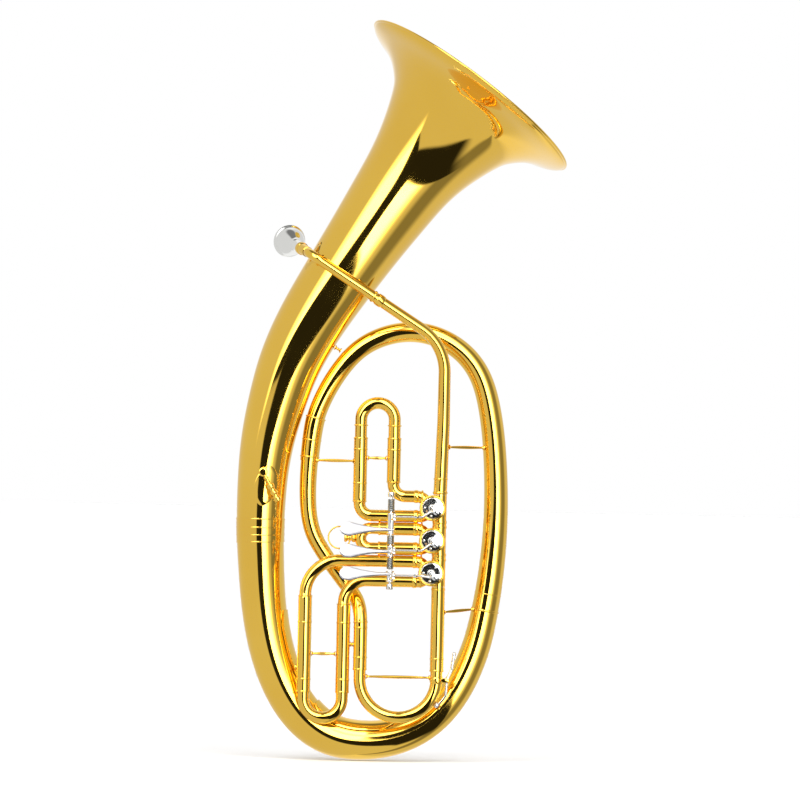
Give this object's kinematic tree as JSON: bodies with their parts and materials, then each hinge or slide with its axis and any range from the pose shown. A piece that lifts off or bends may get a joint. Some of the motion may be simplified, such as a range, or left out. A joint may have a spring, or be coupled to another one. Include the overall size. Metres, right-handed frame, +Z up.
{
  "type": "euphonium",
  "caption": "Oval rotary euphonium in gold lacquered brass, with a flared bell, finger paddles that turn the rotors by links, pull-out slides and a silver mouthpiece.",
  "frame": {"origin": "outer face of the bottom bow's guard plate, where the instrument rests on the player's leg", "axes": "+Z up along the valve column and the slide legs, -Y towards the paddles and linkage, +Y towards the player, +X towards the bell's leaning side"},
  "size_m": [0.3792, 0.275, 0.8663],
  "materials": {
    "bell": "polished, clear gold lacquer",
    "bottom_bow": "polished, clear gold lacquer",
    "upper_bow": "polished, clear gold lacquer",
    "inner_branch": "polished, clear gold lacquer",
    "bell_ferrule": "polished, clear gold lacquer",
    "loop_ferrule": "polished, clear gold lacquer",
    "bow_guard": "polished, clear gold lacquer",
    "valve_casing_1": "polished, clear gold lacquer",
    "valve_casing_2": "polished, clear gold lacquer",
    "valve_casing_3": "polished, clear gold lacquer",
    "bearing_plate_1": "polished nickel silver",
    "bearing_plate_2": "polished nickel silver",
    "bearing_plate_3": "polished nickel silver",
    "valve_cap_1": "polished, clear gold lacquer",
    "valve_cap_2": "polished, clear gold lacquer",
    "valve_cap_3": "polished, clear gold lacquer",
    "valve_knuckle_1": "polished, clear gold lacquer",
    "valve_knuckle_2": "polished, clear gold lacquer",
    "lever_rack": "polished nickel silver",
    "lever_spring_1": "bare spring wire",
    "lever_spring_2": "bare spring wire",
    "lever_spring_3": "bare spring wire",
    "first_sleeve_left": "polished, clear gold lacquer",
    "first_sleeve_right": "polished, clear gold lacquer",
    "second_sleeve_top": "polished, clear gold lacquer",
    "second_sleeve_bottom": "polished, clear gold lacquer",
    "third_sleeve_left": "polished, clear gold lacquer",
    "third_sleeve_right": "polished, clear gold lacquer",
    "tuning_sleeve_left": "polished, clear gold lacquer",
    "tuning_sleeve_right": "polished, clear gold lacquer",
    "leadpipe": "polished, clear gold lacquer",
    "mouthpiece_receiver": "polished, clear gold lacquer",
    "lyre_holder": "polished, clear gold lacquer",
    "brace_branch": "polished, clear gold lacquer",
    "brace_first": "polished, clear gold lacquer",
    "brace_leadpipe": "polished, clear gold lacquer",
    "brace_main": "polished, clear gold lacquer",
    "brace_third": "polished, clear gold lacquer",
    "brace_bell": "polished, clear gold lacquer",
    "rotor_1": "polished, clear gold lacquer",
    "stop_arm_1": "polished nickel silver",
    "lever_1": "polished nickel silver",
    "link_1": "polished nickel silver",
    "rotor_2": "polished, clear gold lacquer",
    "stop_arm_2": "polished nickel silver",
    "lever_2": "polished nickel silver",
    "link_2": "polished nickel silver",
    "rotor_3": "polished, clear gold lacquer",
    "stop_arm_3": "polished nickel silver",
    "lever_3": "polished nickel silver",
    "link_3": "polished nickel silver",
    "first_slide": "polished, clear gold lacquer",
    "second_slide": "polished, clear gold lacquer",
    "second_slide_ring": "polished nickel silver",
    "third_slide": "polished, clear gold lacquer",
    "tuning_slide": "polished, clear gold lacquer",
    "brace_tuning": "polished, clear gold lacquer",
    "water_key": "polished nickel silver",
    "mouthpiece": "bright silver plate",
    "lyre_screw": "polished nickel silver"
  },
  "bodies": {
    "frame": {"bell": "bell", "bottom_bow": "bottom_bow", "upper_bow": "upper_bow", "inner_branch": "inner_branch", "bell_ferrule": "bell_ferrule", "loop_ferrule": "loop_ferrule", "bow_guard": "bow_guard", "valve_casing_1": "valve_casing_1", "valve_casing_2": "valve_casing_2", "valve_casing_3": "valve_casing_3", "bearing_plate_1": "bearing_plate_1", "bearing_plate_2": "bearing_plate_2", "bearing_plate_3": "bearing_plate_3", "valve_cap_1": "valve_cap_1", "valve_cap_2": "valve_cap_2", "valve_cap_3": "valve_cap_3", "valve_knuckle_1": "valve_knuckle_1", "valve_knuckle_2": "valve_knuckle_2", "lever_rack": "lever_rack", "lever_spring_1": "lever_spring_1", "lever_spring_2": "lever_spring_2", "lever_spring_3": "lever_spring_3", "first_sleeve_left": "first_sleeve_left", "first_sleeve_right": "first_sleeve_right", "second_sleeve_top": "second_sleeve_top", "second_sleeve_bottom": "second_sleeve_bottom", "third_sleeve_left": "third_sleeve_left", "third_sleeve_right": "third_sleeve_right", "tuning_sleeve_left": "tuning_sleeve_left", "tuning_sleeve_right": "tuning_sleeve_right", "leadpipe": "leadpipe", "mouthpiece_receiver": "mouthpiece_receiver", "lyre_holder": "lyre_holder", "brace_branch": "brace_branch", "brace_first": "brace_first", "brace_leadpipe": "brace_leadpipe", "brace_main": "brace_main", "brace_third": "brace_third", "brace_bell": "brace_bell"},
    "rotor_1": {"rotor_1": "rotor_1", "stop_arm_1": "stop_arm_1"},
    "lever_1": {"lever_1": "lever_1"},
    "link_1": {"link_1": "link_1"},
    "rotor_2": {"rotor_2": "rotor_2", "stop_arm_2": "stop_arm_2"},
    "lever_2": {"lever_2": "lever_2"},
    "link_2": {"link_2": "link_2"},
    "rotor_3": {"rotor_3": "rotor_3", "stop_arm_3": "stop_arm_3"},
    "lever_3": {"lever_3": "lever_3"},
    "link_3": {"link_3": "link_3"},
    "first_slide": {"first_slide": "first_slide"},
    "second_slide": {"second_slide": "second_slide"},
    "second_slide_ring": {"second_slide_ring": "second_slide_ring"},
    "third_slide": {"third_slide": "third_slide"},
    "tuning_slide": {"tuning_slide": "tuning_slide", "brace_tuning": "brace_tuning"},
    "water_key": {"water_key": "water_key"},
    "mouthpiece": {"mouthpiece": "mouthpiece"},
    "lyre_screw": {"lyre_screw": "lyre_screw"}
  },
  "joints": [
    {"name": "lever_1_hinge", "type": "hinge", "parent": "frame", "child": "lever_1", "pos_m": [0.0245, -0.047, 0.2731], "axis": [0, 0, -1], "range_deg": [0, 24.4], "stiffness_Nm_per_rad": 0.12, "springref_deg": -22.92},
    {"name": "rotor_1_turn", "type": "hinge", "parent": "frame", "child": "rotor_1", "pos_m": [0.0726, -0.032, 0.2988], "axis": [0, 1, 0], "range_deg": [0, 90]},
    {"name": "link_1_pivot", "type": "hinge", "parent": "lever_1", "child": "link_1", "pos_m": [0.02874, -0.06655, 0.2885], "axis": [0, 0, -1], "range_deg": [-24.5, 0]},
    {"name": "lever_2_hinge", "type": "hinge", "parent": "frame", "child": "lever_2", "pos_m": [0.0245, -0.047, 0.2476], "axis": [0, 0, -1], "range_deg": [0, 24.4], "stiffness_Nm_per_rad": 0.12, "springref_deg": -22.92},
    {"name": "rotor_2_turn", "type": "hinge", "parent": "frame", "child": "rotor_2", "pos_m": [0.0726, -0.032, 0.26075], "axis": [0, 1, 0], "range_deg": [0, 90]},
    {"name": "link_2_pivot", "type": "hinge", "parent": "lever_2", "child": "link_2", "pos_m": [0.02874, -0.06655, 0.2495], "axis": [0, 0, -1], "range_deg": [-24.5, 0]},
    {"name": "lever_3_hinge", "type": "hinge", "parent": "frame", "child": "lever_3", "pos_m": [0.0245, -0.047, 0.2212], "axis": [0, 0, -1], "range_deg": [0, 24.4], "stiffness_Nm_per_rad": 0.12, "springref_deg": -22.92},
    {"name": "rotor_3_turn", "type": "hinge", "parent": "frame", "child": "rotor_3", "pos_m": [0.0726, -0.032, 0.2227], "axis": [0, 1, 0], "range_deg": [0, 90]},
    {"name": "link_3_pivot", "type": "hinge", "parent": "lever_3", "child": "link_3", "pos_m": [0.02874, -0.06655, 0.22], "axis": [0, 0, -1], "range_deg": [-24.5, 0]},
    {"name": "first_slide_pull", "type": "slide", "parent": "frame", "child": "first_slide", "axis": [0, 0, 1], "range_m": [0, 0.04]},
    {"name": "second_slide_pull", "type": "slide", "parent": "frame", "child": "second_slide", "axis": [-1, 0, 0], "range_m": [0, 0.028]},
    {"name": "second_ring_swing", "type": "hinge", "parent": "second_slide", "child": "second_slide_ring", "pos_m": [-0.0234, -0.032, 0.2624], "axis": [0, 0, 1], "range_deg": [-60, 60]},
    {"name": "third_slide_pull", "type": "slide", "parent": "frame", "child": "third_slide", "axis": [0, 0, -1], "range_m": [0, 0.04]},
    {"name": "tuning_slide_pull", "type": "slide", "parent": "frame", "child": "tuning_slide", "axis": [0, 0, -1], "range_m": [0, 0.035]},
    {"name": "water_key_hinge", "type": "hinge", "parent": "tuning_slide", "child": "water_key", "pos_m": [0.0936, -0.034, 0.098], "axis": [0, -1, 0], "range_deg": [0, 12], "stiffness_Nm_per_rad": 0.05, "springref_deg": -28.65},
    {"name": "mouthpiece_pull", "type": "slide", "parent": "frame", "child": "mouthpiece", "axis": [-0.3211, 0.9272, 0.193], "range_m": [0, 0.03]},
    {"name": "lyre_screw_turn", "type": "hinge", "parent": "frame", "child": "lyre_screw", "pos_m": [-0.118, -0.0381, 0.323], "axis": [0.4848, 0, -0.8746], "continuous": true}
  ],
  "couplings": [
    {"joint": "rotor_1_turn", "follows": "lever_1_hinge", "ratio": 3.674},
    {"joint": "link_1_pivot", "follows": "lever_1_hinge", "ratio": -1},
    {"joint": "rotor_2_turn", "follows": "lever_2_hinge", "ratio": 3.674},
    {"joint": "link_2_pivot", "follows": "lever_2_hinge", "ratio": -1},
    {"joint": "rotor_3_turn", "follows": "lever_3_hinge", "ratio": 3.674},
    {"joint": "link_3_pivot", "follows": "lever_3_hinge", "ratio": -1}
  ]
}
